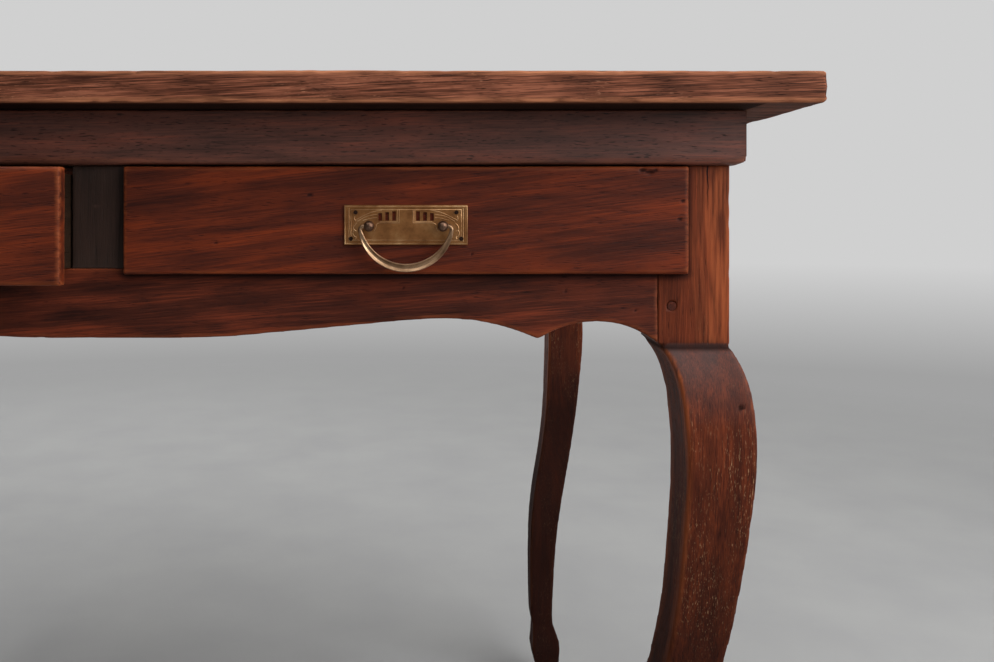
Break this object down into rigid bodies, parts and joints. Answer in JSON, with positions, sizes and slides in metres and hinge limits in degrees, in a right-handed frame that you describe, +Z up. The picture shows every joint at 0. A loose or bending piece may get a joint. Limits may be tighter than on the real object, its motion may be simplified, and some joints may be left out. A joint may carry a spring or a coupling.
{
  "type": "kitchen table with drawers",
  "caption": "Old oak kitchen table with an overhanging plank top, projecting frieze, lipped drawers with brass bail handles, scalloped aprons and square cabriole legs.",
  "frame": {"origin": "on the floor, under the middle of the leg frame", "axes": "+X along the table to the right seen from the front, -Y to the front with the drawers, +Z up"},
  "size_m": [1, 0.8385, 0.77],
  "materials": {
    "top_oak": "worn waxed oak",
    "frame_oak": "dark stained oak",
    "drawer_oak": "dark red stained oak",
    "inner_wood": "bare oak",
    "brass": "aged brass",
    "dark_pins": "dark iron",
    "steel": "dull steel"
  },
  "bodies": {
    "table_frame": {"back_apron": "frame_oak", "block_screws": "steel", "centre_guide": "inner_wood", "centre_kicker": "inner_wood", "centre_runner": "inner_wood", "drawer_divider": "frame_oak", "frame_pegs": "frame_oak", "frieze_back": "frame_oak", "frieze_front": "frame_oak", "frieze_left": "frame_oak", "frieze_right": "frame_oak", "front_apron": "frame_oak", "front_top_rail": "frame_oak", "glue_blocks": "inner_wood", "guide_left": "inner_wood", "guide_right": "inner_wood", "kicker_left": "inner_wood", "kicker_right": "inner_wood", "leg_back_left": "frame_oak", "leg_back_right": "frame_oak", "leg_front_left": "frame_oak", "leg_front_right": "frame_oak", "runner_left": "inner_wood", "runner_right": "inner_wood", "side_apron_left": "frame_oak", "side_apron_right": "frame_oak", "top_board_1": "top_oak", "top_board_2": "top_oak", "top_board_3": "top_oak", "top_board_4": "top_oak", "top_board_5": "top_oak"},
    "right_drawer": {"right_drawer_back": "inner_wood", "right_drawer_bottom": "inner_wood", "right_drawer_front": "drawer_oak", "right_drawer_nails": "steel", "right_drawer_side_left": "inner_wood", "right_drawer_side_right": "inner_wood", "right_handle_nuts": "steel", "right_handle_pins": "dark_pins", "right_handle_plate": "brass", "right_handle_posts": "brass"},
    "left_drawer": {"left_drawer_back": "inner_wood", "left_drawer_bottom": "inner_wood", "left_drawer_front": "drawer_oak", "left_drawer_nails": "steel", "left_drawer_side_left": "inner_wood", "left_drawer_side_right": "inner_wood", "left_handle_nuts": "steel", "left_handle_pins": "dark_pins", "left_handle_plate": "brass", "left_handle_posts": "brass"},
    "right_bail": {"right_handle_bail": "brass"},
    "left_bail": {"left_handle_bail": "brass"}
  },
  "joints": [
    {"name": "right_drawer_slide", "type": "slide", "parent": "table_frame", "child": "right_drawer", "axis": [0, -1, 0], "range_m": [0, 0.3]},
    {"name": "left_drawer_slide", "type": "slide", "parent": "table_frame", "child": "left_drawer", "axis": [0, -1, 0], "range_m": [-0.065, 0.235]},
    {"name": "right_bail_hinge", "type": "hinge", "parent": "right_drawer", "child": "right_bail", "pos_m": [0.214, -0.3696, 0.664], "axis": [-1, 0, 0], "range_deg": [0, 165]},
    {"name": "left_bail_hinge", "type": "hinge", "parent": "left_drawer", "child": "left_bail", "pos_m": [-0.214, -0.4346, 0.6605], "axis": [-1, 0, 0], "range_deg": [0, 165]}
  ]
}
